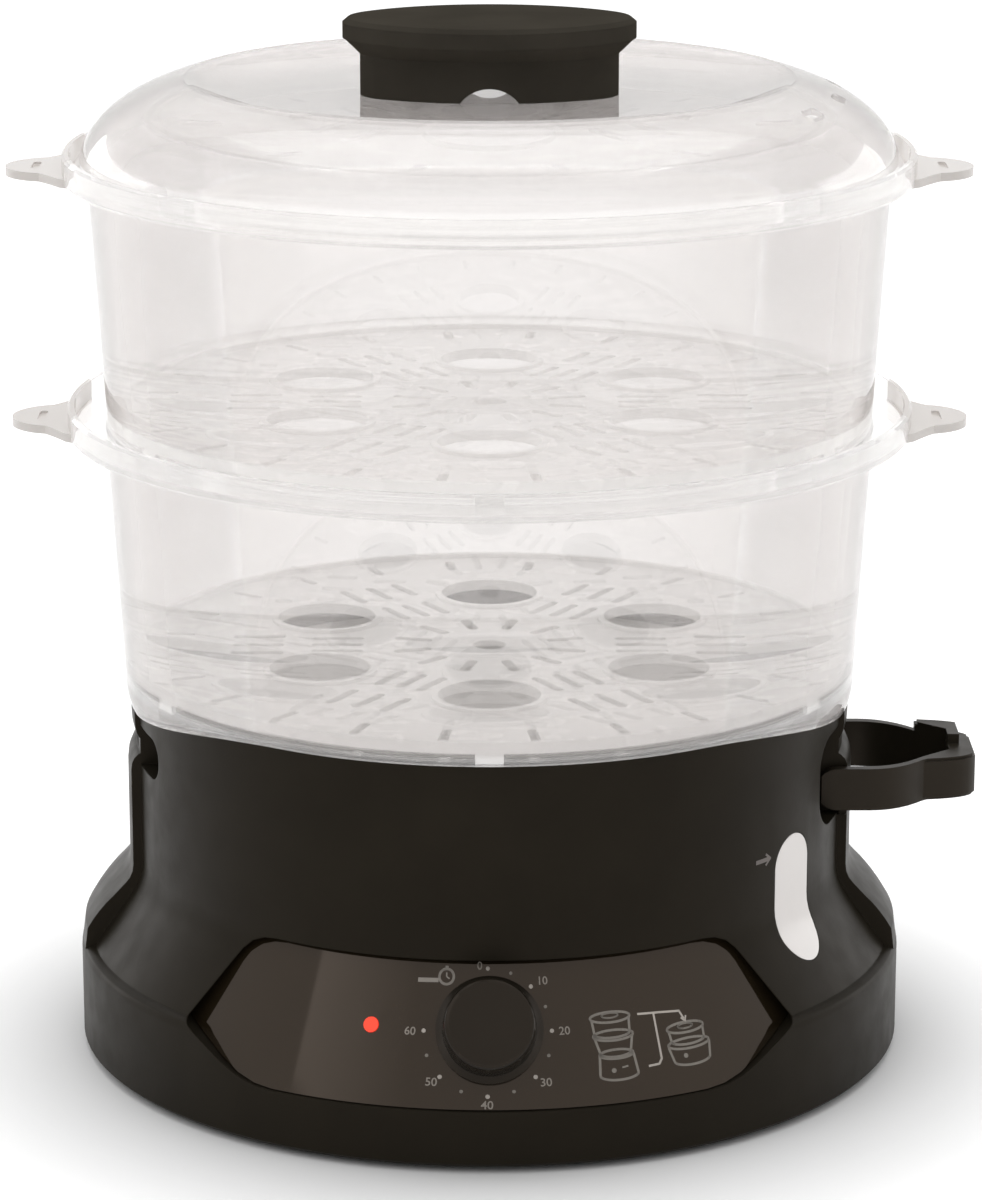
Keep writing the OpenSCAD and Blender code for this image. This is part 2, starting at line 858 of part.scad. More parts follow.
module storage_clip() {
    low = hinge_z - band_h / 2;
    raise_h = 3;
    skirt_h = 1.5;
    soft = 0.8;
    color("#272420")
    difference() {
        union() {
            translate([0, 0, low]) linear_extrude(band_h) clip_wall() {
                clip_loop(0);
                clip_grip(soft);
            }
            translate([0, 0, low + soft]) linear_extrude(band_h - 2 * soft) clip_wall() clip_grip(0);
            translate([0, 0, low + band_h - 1]) intersection() {
                union() {
                    linear_extrude(raise_h + 1 - soft) clip_wall() clip_grip(0);
                    linear_extrude(raise_h + 1) clip_wall() clip_grip(soft);
                }
                cube([clip_reach - 4, far, far]);
            }
            translate([0, 0, low - skirt_h]) intersection() {
                linear_extrude(skirt_h + 1) clip_wall() clip_loop(0);
                translate([clip_at(0.17), 0, 0]) cube([clip_len * 0.6, far, far]);
            }
            clip_pivots(pin_r, pin_length);
        }
        arm_end_trim();
    }
}

// rounds the two free ends of the arms about the hinge
module arm_end_trim() {
    front_prism(-far / 2, far / 2) difference() {
        translate([hinge_x - 20, hinge_z - 20]) square([20, 40]);
        translate([hinge_x, hinge_z]) circle(band_h / 2);
    }
}

// ---------- turbo ring and drip tray ----------

module turbo_ring() {
    low = tank_floor + gap;
    high = tray_z - 16;
    color("#cfcac2")
    difference() {
        union() {
            tube(low, high, turbo_r - 2, turbo_r);
            tube(high - 2, high, turbo_r - 6, turbo_r);
        }
        for (a = [0:60:300]) rotate([0, 0, a]) translate([0, 0, low])
            rotate([90, 0, 0]) cylinder(far, 7, 7);
        for (a = [30:60:330]) rotate([0, 0, a])
            translate([0, -turbo_r - 1, high - 14]) rotate([-90, 0, 0]) cylinder(4, 2.5, 2.5);
    }
}

module drip_tray() {
    in_r = tray_r - tank_wall - gap;
    floor_z = tray_z - 12;
    vents = 16;
    color("#d9d6d2")
    difference() {
        revolve([[0, floor_z + 4], [26, floor_z], [in_r - 16, floor_z], [in_r - 2, tray_z - 3.5],
                 [in_r, tray_z], [tray_r, tray_z], [tray_r, tray_z + tray_t], [in_r - 1.6, tray_z + tray_t],
                 [in_r - 4, tray_z - 1.8], [in_r - 16.8, floor_z + tray_t], [26, floor_z + tray_t],
                 [0, floor_z + 4 + tray_t]]);
        for (i = [0:vents - 1]) rotate([0, 0, (i + 0.5) * 360 / vents])
            translate([-5, -in_r + 4.5, 0]) cube([10, 4, far]);
    }
}

// ---------- bowls and grids ----------

// section of a bowl: foot radius, foot height, underside of its rim, depth of its outer skirt
// and the outer radius and depth of the guide ring that centres it
function bowl_section(foot_r, foot_z, rim, skirt, guide_r, guide_h) =
    let (ledge = foot_z + (skirt > 0 ? 0.7 : 0), in_r = foot_r - bowl_wall, mouth = in_r + bowl_flare)
    concat(
        skirt > 0 ? bezier([foot_r - 1.9, foot_z - skirt], [foot_r - 0.1, foot_z - skirt + 3.4],
                           [foot_r, foot_z - 2], 4) : [],
        [[foot_r, foot_z], [foot_r + bowl_flare, rim], [bowl_rim_r - 0.6, rim], [bowl_rim_r, rim + 0.8],
         [bowl_rim_r, rim + lip_h - 0.8], [bowl_rim_r - 0.7, rim + lip_h],
         [bowl_rim_r - bowl_wall, rim + lip_h], [bowl_rim_r - bowl_wall, rim + ledge_t],
         [mouth, rim + ledge_t], [in_r + 0.1, ledge + ledge_t], [in_r - grid_ledge, ledge + ledge_t],
         [in_r - grid_ledge, ledge], [guide_r - bowl_wall, ledge], [guide_r - bowl_wall, foot_z - guide_h],
         [guide_r, foot_z - guide_h], [guide_r, ledge]],
        skirt > 0 ? [[in_r, ledge], [in_r - 1.9, foot_z - skirt]] : []);

module ear(rim) {
    tongue = ear_reach - ear_tip_r;
    inset = bowl_rim_r - 6;
    translate([0, 0, rim]) difference() {
        linear_extrude(ear_t) difference() {
            union() {
                polygon(concat([[inset, ear_root_half]],
                               bezier([inset + 5, ear_root_half - 4], [inset + 9, ear_root_half - 11],
                                      [tongue + 4, ear_tip_r - 0.6], 4),
                               [[tongue + 4, 0.6 - ear_tip_r]],
                               bezier([tongue + 4, 0.6 - ear_tip_r], [inset + 9, 11 - ear_root_half],
                                      [inset + 5, 4 - ear_root_half], 4),
                               [[inset, -ear_root_half]]));
                translate([tongue, 0]) circle(ear_tip_r);
            }
            circle(bowl_rim_r - 1);
        }
        translate([ear_reach - 9, 0, ear_t - 0.8]) linear_extrude(ear_t)
            rounded_rect([-1.2, -6], [1.2, 6], 1.1);
    }
}

// six notches in the ledge for the tabs of a grid
module at_tabs() {
    for (a = [0:60:300]) rotate([0, 0, a]) children();
}

module tab_notches(foot_r, ledge) {
    in_r = foot_r - bowl_wall;
    at_tabs() translate([-tab_w / 2 - 0.5, -in_r, ledge - 1]) cube([tab_w + 1, 3.6, ledge_t + 2]);
}

lower_ledge = lower_foot_z + 0.7;
upper_ledge = upper_foot_z;

module lower_bowl() {
    color("#e9e7e5", 0.45)
    difference() {
        union() {
            revolve(bowl_section(lower_foot_r, lower_foot_z, lower_rim, 10, drum_r - wall - 0.4, 6.5));
            for (m = [0, 1]) mirror([m, 0, 0]) ear(lower_rim);
        }
        below_rim(gap);
        tab_notches(lower_foot_r, lower_ledge);
    }
}

module upper_bowl() {
    color("#e9e7e5", 0.45)
    difference() {
        union() {
            revolve(bowl_section(upper_foot_r, upper_foot_z, upper_rim, 0, lower_mouth_r - 0.7, 5.5));
            for (m = [0, 1]) mirror([m, 0, 0]) ear(upper_rim);
        }
        tab_notches(upper_foot_r, upper_ledge);
    }
}

// perforated floor of a bowl, with tabs that hang in the notches
module grid(foot_r, ledge) {
    r = foot_r - bowl_wall - gap;
    z = ledge + ledge_t + gap;
    difference() {
        union() {
            translate([0, 0, z]) cylinder(grid_t, r, r);
            tube(z, z + grid_t + 1.5, r - 2, r);
            at_tabs() translate([-tab_w / 2, -r + 0.3, z - tab_h]) cube([tab_w, 2.4, tab_h + 0.5]);
            at_egg_cups() translate([0, 0, z]) cylinder(grid_t + 1.2, egg_r + 2, egg_r + 2);
        }
        translate([0, 0, z - 1]) {
            at_egg_cups() cylinder(far, egg_r, egg_r);
            slot_ring(24, r - 17, 11, 3);
            slot_ring(12, 18, 12, 3.4);
            for (a = [0:60:300]) rotate([0, 0, a + 30]) slot_row();
            cylinder(far, 5, 5);
        }
    }
}

egg_r = 15;
egg_at = 58;

module at_egg_cups() {
    for (a = [0:60:300]) rotate([0, 0, a]) translate([0, -egg_at, 0]) children();
}

module slot(length, width) {
    translate([-width / 2, width / 2, 0]) cube([width, length - width, far]);
    for (y = [width / 2, length - width / 2]) translate([0, y, 0]) cylinder(far, width / 2, width / 2);
}

module slot_ring(count, r, length, width) {
    for (i = [0:count - 1]) rotate([0, 0, (i + 0.5) * 360 / count]) translate([0, r, 0]) slot(length, width);
}

module slot_row() {
    for (x = [-1, 0, 1]) translate([7 * x, 38, 0]) slot(16, 3);
    for (x = [-1, 0, 1]) translate([9 * x, 62, 0]) slot(16, 3);
}

module lower_grid() {
    color("#dedcda", 0.6) grid(lower_foot_r, lower_ledge);
}

module upper_grid() {
    color("#dedcda", 0.6) grid(upper_foot_r, upper_ledge);
}

// ---------- lid and handle ----------

// top line of the lid from the ridge outwards, moved in by t
function lid_curve(t) =
    bezier([ridge_r + 1, lid_top - 0.2 - t], [lid_r - 5.4 - t * 0.75, lid_top - 6.5 - t * 0.7],
           [lid_r - 0.4 - t, lid_seat + 5.4], 8);

function reversed(list) = [for (i = [1:len(list)]) list[len(list) - i]];

function dish_curve(t) =
    concat([[0, dish_z - t]],
           bezier([ridge_r - 30, dish_z - t], [ridge_r - 10, dish_z - t],
                  [ridge_r - 2, lid_top - 0.7 - t], 5));

module lid() {
    plug_r = upper_mouth_r - gap - 0.3;
    plug_h = 3.5;
    color("#eceae8", 0.4)
    difference() {
        revolve(concat(dish_curve(0), [[ridge_r, lid_top]], lid_curve(0),
                       [[lid_r - 0.2, lid_seat + 3.4], [lid_r + 1, lid_seat + 2.6], [lid_r + 1, lid_seat],
                        [plug_r, lid_seat], [plug_r, lid_seat - plug_h], [plug_r - 1.6, lid_seat - plug_h],
                        [plug_r - 1.6, lid_seat + bowl_wall],
                        [lid_r - 0.4 - bowl_wall, lid_seat + bowl_wall]],
                       reversed(lid_curve(bowl_wall)), [[ridge_r, lid_top - bowl_wall]],
                       reversed(dish_curve(bowl_wall))));
        for (a = [63, 80, 97]) rotate([0, 0, a]) translate([-5, -ridge_r - 15, dish_z - 8])
            linear_extrude(20) rounded_rect([0, 0], [10, 4], 1.8);
        at_handle_screws() translate([0, 0, dish_z - 10]) cylinder(20, screw_r + 0.3, screw_r + 0.3);
    }
}

module at_handle_screws() {
    for (s = [-1, 1]) translate([s * grip_a / 2, 0, 0]) children();
}

// oval plate at height z; size holds its two half axes and its end radius
module oval_slab(z, t, size) {
    translate([0, 0, z]) linear_extrude(t) oval(size[0], size[1], size[2]);
}

module lid_handle() {
    neck_a = grip_a - 5.1;
    neck_b = grip_b - 9.5;
    neck_end_r = neck_b * 0.667;
    grip_end_r = grip_b * 0.656;
    low = dish_z + 0.05;
    neck_h = handle_h - 10;
    plate_h = 5.5;
    arch_r = 10.6;
    arch_h = 4.3;
    color("#2b2823")
    difference() {
        translate([0, 0, low]) union() {
            oval_slab(0, neck_h, [neck_a, neck_b, neck_end_r]);
            hull() {
                oval_slab(neck_h - 0.5, 0.5, [neck_a, neck_b, neck_end_r]);
                oval_slab(handle_h - plate_h - 0.6, 0.5, [grip_a - 0.6, grip_b - 0.6, grip_end_r]);
            }
            oval_slab(handle_h - plate_h - 0.3, plate_h - 1, [grip_a, grip_b, grip_end_r]);
            hull() {
                oval_slab(handle_h - 1.5, 0.2, [grip_a, grip_b, grip_end_r]);
                oval_slab(handle_h - 0.2, 0.2, [grip_a - 1.6, grip_b - 1.6, grip_end_r - 1]);
            }
        }
        front_prism(-far / 2, far / 2) translate([0, low + arch_h - arch_r]) circle(arch_r);
        at_handle_screws() translate([0, 0, low - 1]) cylinder(13, screw_r + screw_fit, screw_r + screw_fit);
    }
}

module handle_screws() {
    head_z = dish_z - bowl_wall - 1.6;
    color("silver")
    at_handle_screws() {
        translate([0, 0, head_z]) cylinder(1.55, screw_r + 1.6, screw_r + 1.6);
        translate([0, 0, head_z]) cylinder(13, screw_r, screw_r);
    }
}

base_body();
bottom_cover();
feet();
cover_screws();
water_tank();
tank_screws();
heater_plate();
heater_gasket();
heating_tube();
heater_clamp();
thermostat();
thermal_fuse();
terminal_block();
cord_grommet();
level_window();
window_gasket();
facia();
timer_body();
timer_nut();
timer_shaft();
timer_knob();
lamp_lens();
pilot_lamp();
storage_clip();
turbo_ring();
drip_tray();
lower_bowl();
lower_grid();
upper_bowl();
upper_grid();
lid();
lid_handle();
handle_screws();
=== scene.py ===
"""Looks of the two-tier steamer: materials, dial prints, light and camera."""
import math

import bmesh
import bpy
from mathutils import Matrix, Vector


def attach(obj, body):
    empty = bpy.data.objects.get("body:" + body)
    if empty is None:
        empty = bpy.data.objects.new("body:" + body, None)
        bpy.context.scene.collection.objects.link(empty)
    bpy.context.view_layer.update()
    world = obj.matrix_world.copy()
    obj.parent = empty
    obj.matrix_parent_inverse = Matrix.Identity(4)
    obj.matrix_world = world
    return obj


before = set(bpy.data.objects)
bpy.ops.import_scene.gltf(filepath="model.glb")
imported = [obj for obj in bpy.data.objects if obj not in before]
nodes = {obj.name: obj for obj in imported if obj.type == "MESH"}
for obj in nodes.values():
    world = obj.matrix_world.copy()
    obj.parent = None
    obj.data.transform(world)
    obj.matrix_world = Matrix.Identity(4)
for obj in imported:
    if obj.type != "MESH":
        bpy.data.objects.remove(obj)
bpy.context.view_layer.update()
scene = bpy.context.scene

# ---------- camera ----------

TILT_DOWN = 14.92                  # degrees
CAMERA_AT = (0, -1.290, 0.478)     # metres

cam_data = bpy.data.cameras.new("camera")
cam_data.lens = 132.57
cam_data.sensor_width = 36
cam_data.shift_x = 0.00125
cam = bpy.data.objects.new("camera", cam_data)
cam.location = CAMERA_AT
cam.rotation_euler = (math.radians(90 - TILT_DOWN), 0, 0)
scene.collection.objects.link(cam)
scene.camera = cam

# ---------- node helpers ----------


def new_material(name):
    """A new material, its node tree and its shader."""
    m = bpy.data.materials.new(name)
    m.use_nodes = True
    t = m.node_tree
    bsdf = t.nodes["Principled BSDF"]
    return m, t, bsdf


def link(t, a, b):
    t.links.new(a, b)


def coords(t):
    return t.nodes.new("ShaderNodeTexCoord").outputs["Object"]


def math_node(t, operation, a, b=None):
    """The result of a sum on numbers or sockets."""
    n = t.nodes.new("ShaderNodeMath")
    n.operation = operation
    for socket, value in zip(n.inputs, (a, b)):
        if isinstance(value, (int, float)):
            socket.default_value = value
        elif value is not None:
            link(t, value, socket)
    return n.outputs[0]


def noise(t, scale, detail):
    n = t.nodes.new("ShaderNodeTexNoise")
    n.inputs["Scale"].default_value = scale
    n.inputs["Detail"].default_value = detail
    link(t, coords(t), n.inputs["Vector"])
    return n.outputs["Fac"]


NOISE_MIDDLE = (0.3, 0.7)    # most of a noise lies in this range


def ramp(t, fac, low, high, start=NOISE_MIDDLE[0], stop=NOISE_MIDDLE[1]):
    """A colour that runs from low to high as fac runs from start to stop."""
    r = t.nodes.new("ShaderNodeValToRGB")
    r.color_ramp.elements[0].position = start
    r.color_ramp.elements[1].position = stop
    r.color_ramp.elements[0].color = low
    r.color_ramp.elements[1].color = high
    link(t, fac, r.inputs["Fac"])
    return r.outputs["Color"]


def span(t, value, start, stop, low, high):
    """A value that runs from low to high as the given one runs from start to stop."""
    r = t.nodes.new("ShaderNodeMapRange")
    r.inputs["From Min"].default_value = start
    r.inputs["From Max"].default_value = stop
    r.inputs["To Min"].default_value = low
    r.inputs["To Max"].default_value = high
    link(t, value, r.inputs["Value"])
    return r.outputs["Result"]


def spread(t, fac, low, high):
    """A value that runs from low to high as a noise runs over the middle of its range."""
    return span(t, fac, *NOISE_MIDDLE, low, high)


def tinted(t, tone, mask, color):
    """The tone, changed to the colour where the mask is 1."""
    mix = t.nodes.new("ShaderNodeMix")
    mix.data_type = "RGBA"
    link(t, mask, mix.inputs["Factor"])
    link(t, tone, mix.inputs["A"])
    mix.inputs["B"].default_value = (*color, 1)
    return mix.outputs["Result"]


def bump(t, bsdf, fac, strength, distance):
    """Small relief: strength is a share, distance is in metres."""
    b = t.nodes.new("ShaderNodeBump")
    b.inputs["Strength"].default_value = strength
    b.inputs["Distance"].default_value = distance
    link(t, fac, b.inputs["Height"])
    link(t, b.outputs["Normal"], bsdf.inputs["Normal"])
    return b


def soft_edges(t, bump_node, radius):
    """Light catches the sharp edges as if they were rounded by the radius, in metres."""
    e = t.nodes.new("ShaderNodeBevel")
    e.samples = 4
    e.inputs["Radius"].default_value = radius
    link(t, e.outputs["Normal"], bump_node.inputs["Normal"])


def shade(color, k):
    return (color[0] * k, color[1] * k, color[2] * k, 1)


# ---------- materials ----------

WHITE = (1.0, 1.0, 1.0)
WARM = (1.0, 0.83, 0.71)    # tint of the black plastics' gloss


def plastic(name, color, rough, specular=0.5, vary=0.12, grain=900, depth=0.00004, edge=0.0, sheen=WHITE):
    """Moulded plastic: slight tone variation, uneven gloss and a fine mould grain."""
    m, t, bsdf = new_material(name)
    tone = ramp(t, noise(t, 38, 4), shade(color, 1 - vary), shade(color, 1 + vary))
    link(t, tone, bsdf.inputs["Base Color"])
    link(t, spread(t, noise(t, 110, 3), rough * 0.88, rough * 1.14), bsdf.inputs["Roughness"])
    bsdf.inputs["Specular IOR Level"].default_value = specular
    bsdf.inputs["Specular Tint"].default_value = (*sheen, 1)
    b = bump(t, bsdf, noise(t, grain, 2), 0.35, depth)
    if edge:
        soft_edges(t, b, edge)
    return m


# the rims and feet of the bowls lie at these heights and within this radius, in metres; their tone is
# painted lighter there, a painted highlight
RIM_BANDS = ((0.1145, 0.1175), (0.1886, 0.1974), (0.2639, 0.2727))
RIM_R = 0.1262
BAND_FADE = 0.0006
# beside the ears, up to this distance from the middle plane, the ears' painted shade reaches further in
EAR_Y = 0.024
EAR_Y_FADE = 0.004
EAR_REACH = 0.0035
# how dense rims and ears look, and how little light passes through an ear
RIM_ALPHA = 0.5
EAR_ALPHA = 0.75
EAR_TRANSMISSION = 0.1
# part of a clear piece's density that counts for shadows
SHADOW_SHARE = 0.12


def rim_masks(t):
    """Two masks: 1 on the rims of the bowls and the lid, where a highlight is painted, and 1 on the bowls'
    ears, where shade is painted.
    """
    at = t.nodes.new("ShaderNodeSeparateXYZ")
    link(t, coords(t), at.inputs[0])
    x_squared = math_node(t, "POWER", at.outputs["X"], 2)
    y_squared = math_node(t, "POWER", at.outputs["Y"], 2)
    across = math_node(t, "SQRT", math_node(t, "ADD", x_squared, y_squared))
    bands = []
    for low, high in RIM_BANDS:
        off = math_node(t, "ABSOLUTE", math_node(t, "SUBTRACT", at.outputs["Z"], (low + high) / 2))
        bands.append(span(t, off, (high - low) / 2, (high - low) / 2 + BAND_FADE, 1, 0))
    in_band = bands[0]
    for band in bands[1:]:
        in_band = math_node(t, "MAXIMUM", in_band, band)
    off_middle = math_node(t, "ABSOLUTE", at.outputs["Y"])
    beside = span(t, off_middle, EAR_Y, EAR_Y + EAR_Y_FADE, EAR_REACH, 0.0)
    across = math_node(t, "ADD", across, beside)
    rim = math_node(t, "MULTIPLY", in_band, span(t, across, RIM_R, RIM_R + BAND_FADE, 1, 0))
    return rim, span(t, across, RIM_R, RIM_R + BAND_FADE, 0, 1)


def clear(name, color, alpha, transmission, rough, ior=1.5, grain=260, depth=0.00003, edge_alpha=None,
          edge_on_shade=None, rim_highlight_and_ear_shade=()):
    """Clear or milky moulded plastic with a faint flow texture, denser where it is seen edge on; there its
    tone may be painted darker (painted shade), its rims painted lighter (painted highlight) and its ears
    painted darker (painted shade).
    """
    m, t, bsdf = new_material(name)
    tone = ramp(t, noise(t, 22, 3), shade(color, 0.97), shade(color, 1.0))
    facing = t.nodes.new("ShaderNodeLayerWeight").outputs["Facing"]
    # painted shade: where the plastic is seen edge on its tone turns darker
    if edge_on_shade:
        tone = tinted(t, tone, span(t, facing, 0.72, 0.92, 0, 1), edge_on_shade)
    bsdf.inputs["Transmission Weight"].default_value = transmission
    dense = None
    if rim_highlight_and_ear_shade:
        rim, ear = rim_masks(t)
        # painted highlight: the rims' tone is made nearly white; painted shade: the ears' tone is made
        # grey
        tone = tinted(t, tinted(t, tone, rim, rim_highlight_and_ear_shade[0]), ear, rim_highlight_and_ear_shade[1])
        rim_dense = span(t, rim, 0, 1, 0, RIM_ALPHA)
        ear_dense = span(t, ear, 0, 1, 0, EAR_ALPHA)
        dense = math_node(t, "MAXIMUM", rim_dense, ear_dense)
        passing = span(t, ear, 0, 1, transmission, EAR_TRANSMISSION)
        link(t, passing, bsdf.inputs["Transmission Weight"])
    link(t, tone, bsdf.inputs["Base Color"])
    link(t, spread(t, noise(t, 70, 2), rough * 0.8, rough * 1.25), bsdf.inputs["Roughness"])
    bsdf.inputs["Alpha"].default_value = alpha
    if edge_alpha:
        seen = span(t, facing, 0.05, 0.95, alpha, edge_alpha)
        if dense:
            seen = math_node(t, "MAXIMUM", seen, dense)
        is_shadow = t.nodes.new("ShaderNodeLightPath").outputs["Is Shadow Ray"]
        counted = span(t, is_shadow, 0, 1, 1, SHADOW_SHARE)
        link(t, math_node(t, "MULTIPLY", seen, counted), bsdf.inputs["Alpha"])
    bsdf.inputs["IOR"].default_value = ior
    bump(t, bsdf, noise(t, grain, 1), 0.2, depth)
    return m


def metal(name, color, rough, vary=0.12, grain=700):
    """Bare metal with a slight tone variation and uneven gloss."""
    m, t, bsdf = new_material(name)
    tone = ramp(t, noise(t, 160, 4), shade(color, 1 - vary), shade(color, 1 + vary * 0.5))
    link(t, tone, bsdf.inputs["Base Color"])
    link(t, spread(t, noise(t, 320, 3), rough * 0.8, rough * 1.3), bsdf.inputs["Roughness"])
    bsdf.inputs["Metallic"].default_value = 1.0
    bump(t, bsdf, noise(t, grain, 3), 0.3, 0.00004)
    return m


BLACK = (0.0142, 0.0120, 0.0082)
mats = {
    "body": plastic("body_black", BLACK, 0.40, 0.085, edge=0.0006, sheen=WARM),
    "handle": plastic("handle_black", (0.0455, 0.0405, 0.0325), 0.5, 0.0, edge=0.0005),
    "clip": plastic("clip_black", BLACK, 0.38, 0.2, edge=0.0004, sheen=WARM),
    "cover": plastic("cover_black", (0.013, 0.011, 0.0085), 0.55, 0.2, grain=1500, depth=0.00008),
    "tank": plastic("tank_black", (0.0135, 0.0115, 0.0085), 0.3, 0.25, sheen=WARM),
    "facia": plastic("facia_gloss", (0.0150, 0.0104, 0.0055), 0.07, 0.45, vary=0.05, grain=120,
                     depth=0.000004, sheen=WARM),
    "knob": plastic("knob_gloss", (0.0105, 0.0086, 0.0058), 0.22, 0.25, grain=300, depth=0.000002,
                    sheen=WARM),
    # clear plastic: painted shade where it is seen edge on and on the ears, painted highlight on the rims
    "clear": clear("clear_plastic", (0.77, 0.735, 0.72), 0.37, 0.72, 0.035, ior=1.4, edge_alpha=0.92,
                   depth=0.000002, edge_on_shade=(0.24, 0.215, 0.20),
                   rim_highlight_and_ear_shade=((0.98, 0.965, 0.955), (0.67, 0.63, 0.60))),
    "grid": clear("grid_frosted", (0.99, 0.98, 0.97), 1.0, 0.05, 0.25, depth=0.000005, edge_alpha=1.0),
    "tray": plastic("tray_milky", (0.72, 0.71, 0.69), 0.35, 0.5, vary=0.03, grain=500, depth=0.00002),
    "window": plastic("window_milky", (0.83, 0.79, 0.765), 0.22, 0.5, vary=0.03, grain=300, depth=0.00001),
    "gasket": plastic("gasket_rubber", (0.40, 0.38, 0.35), 0.6, 0.3, grain=1200),
    "seal": plastic("seal_silicone", (0.42, 0.09, 0.035), 0.5, 0.4, grain=900),
    "rubber": plastic("foot_rubber", (0.022, 0.022, 0.021), 0.75, 0.25, grain=1800, depth=0.0001),
    "steel": metal("screw_steel", (0.55, 0.55, 0.54), 0.3),
    "heater": metal("heater_aluminium", (0.62, 0.62, 0.61), 0.34, grain=420),
    "sheath": metal("heating_tube_steel", (0.26, 0.24, 0.22), 0.42),
    "ceramic": plastic("ceramic", (0.68, 0.65, 0.58), 0.3, 0.5, vary=0.05),
    "fuse": metal("fuse_can", (0.5, 0.53, 0.55), 0.25),
    "terminal": plastic("terminal_nylon", (0.76, 0.73, 0.66), 0.5, 0.4, vary=0.05),
    "timer": plastic("timer_case", (0.42, 0.33, 0.14), 0.5, 0.4, vary=0.1),
}


def lamp_material():
    """The lit lens of the pilot lamp, darker towards its rim."""
    m, t, bsdf = new_material("lens_lit")
    weight = t.nodes.new("ShaderNodeLayerWeight")
    weight.inputs["Blend"].default_value = 0.35
    tone = ramp(t, weight.outputs["Facing"], (0.98, 0.055, 0.012, 1), (0.55, 0.012, 0.003, 1), 0.0, 0.7)
    bsdf.inputs["Base Color"].default_value = (0.3, 0.008, 0.004, 1)
    link(t, tone, bsdf.inputs["Emission Color"])
    bsdf.inputs["Emission Strength"].default_value = 0.95
    bsdf.inputs["Roughness"].default_value = 0.2
    return m


mats["lens"] = lamp_material()
mats["neon"] = clear("neon_glass", (0.85, 0.5, 0.35), 0.7, 0.5, 0.1)

LOOKS = {
    "base_body": "body", "bottom_cover": "cover", "feet": "rubber", "cover_screws": "steel",
    "water_tank": "tank", "tank_screws": "steel", "heater_plate": "heater", "heater_gasket": "seal",
    "heating_tube": "sheath", "heater_clamp": "steel", "thermostat": "ceramic", "thermal_fuse": "fuse",
    "terminal_block": "terminal", "cord_grommet": "rubber", "level_window": "window",
    "window_gasket": "gasket", "facia": "facia", "timer_body": "timer", "timer_nut": "steel",
    "timer_shaft": "steel", "timer_knob": "knob", "lamp_lens": "lens", "pilot_lamp": "neon",
    "storage_clip": "clip", "turbo_ring": "tray", "drip_tray": "tray", "lower_bowl": "clear",
    "lower_grid": "grid", "upper_bowl": "clear", "upper_grid": "grid", "lid": "clear",
    "lid_handle": "handle", "handle_screws": "steel",
}
for node, look in LOOKS.items():
    data = nodes[node].data
    if not data.materials:
        data.materials.append(mats[look])
    for i in range(len(data.materials)):
        data.materials[i] = mats[look]

# ---------- smooth shading ----------

WELD_WITHIN = 0.000001    # metres
# facets that meet at less than this angle, in degrees, are shaded as one curved face
SMOOTH_UP_TO = {
    "lid": 24, "lower_bowl": 24, "upper_bowl": 24, "base_body": 22, "storage_clip": 22,
    "lid_handle": 22, "facia": 20, "timer_knob": 22, "turbo_ring": 22, "drip_tray": 22,
    "level_window": 22,
}


def smooth_group(degrees):
    """Modifier that shades a solid smooth wherever neighbouring facets meet at less than this angle."""
    g = bpy.data.node_groups.new("smooth_%d" % degrees, "GeometryNodeTree")
    g.interface.new_socket("Geometry", in_out="INPUT", socket_type="NodeSocketGeometry")
    g.interface.new_socket("Geometry", in_out="OUTPUT", socket_type="NodeSocketGeometry")
    weld = g.nodes.new("GeometryNodeMergeByDistance")
    weld.inputs["Distance"].default_value = WELD_WITHIN
    plain = g.nodes.new("GeometryNodeRemoveAttribute")
    plain.inputs["Name"].default_value = "custom_normal"
    faces = g.nodes.new("GeometryNodeSetShadeSmooth")
    edges = g.nodes.new("GeometryNodeSetShadeSmooth")
    edges.domain = "EDGE"
    angle = g.nodes.new("GeometryNodeInputMeshEdgeAngle")
    flat = g.nodes.new("FunctionNodeCompare")
    flat.operation = "LESS_THAN"
    flat.inputs["B"].default_value = math.radians(degrees)
    link(g, angle.outputs["Unsigned Angle"], flat.inputs["A"])
    link(g, flat.outputs["Result"], edges.inputs["Shade Smooth"])
    chain = [g.nodes.new("NodeGroupInput"), weld, plain, faces, edges, g.nodes.new("NodeGroupOutput")]
    for a, b in zip(chain, chain[1:]):
        link(g, a.outputs["Geometry"], b.inputs["Geometry"])
    return g


groups = {angle: smooth_group(angle) for angle in set(SMOOTH_UP_TO.values())}
for node, angle in SMOOTH_UP_TO.items():
    nodes[node].modifiers.new("smooth", "NODES").node_group = groups[angle]

# ---------- prints on the panel and beside the window ----------

PANEL_TILT = math.radians(28)    # lean of the panel's cone from upright
PANEL_R = 0.113586               # the cone's radius and height at the panel's middle
PANEL_Z = 0.03845
DRUM_R = 0.107
MARK_ANGLE = math.radians(47.7)  # the level mark's place on the drum, from the front to the right
MARK_Z = 0.0752
LIFT = 0.00006                   # how far a print stands off its face
MM = 0.001


def on_cone(u, v):
    """A point of the panel: u mm to the right of its middle and v mm up its slope."""
    z = PANEL_Z + v * MM * math.cos(PANEL_TILT) + LIFT * math.sin(PANEL_TILT)
    r = PANEL_R - v * MM * math.sin(PANEL_TILT) + LIFT * math.cos(PANEL_TILT)
    a = u * MM / PANEL_R
    return Vector((r * math.sin(a), -r * math.cos(a), z))


def on_drum(u, v):
    """A point of the drum: u mm to the right of the level mark's middle and v mm above it."""
    a = MARK_ANGLE + u * MM / DRUM_R
    r = DRUM_R + LIFT
    return Vector((r * math.sin(a), -r * math.cos(a), MARK_Z + v * MM))


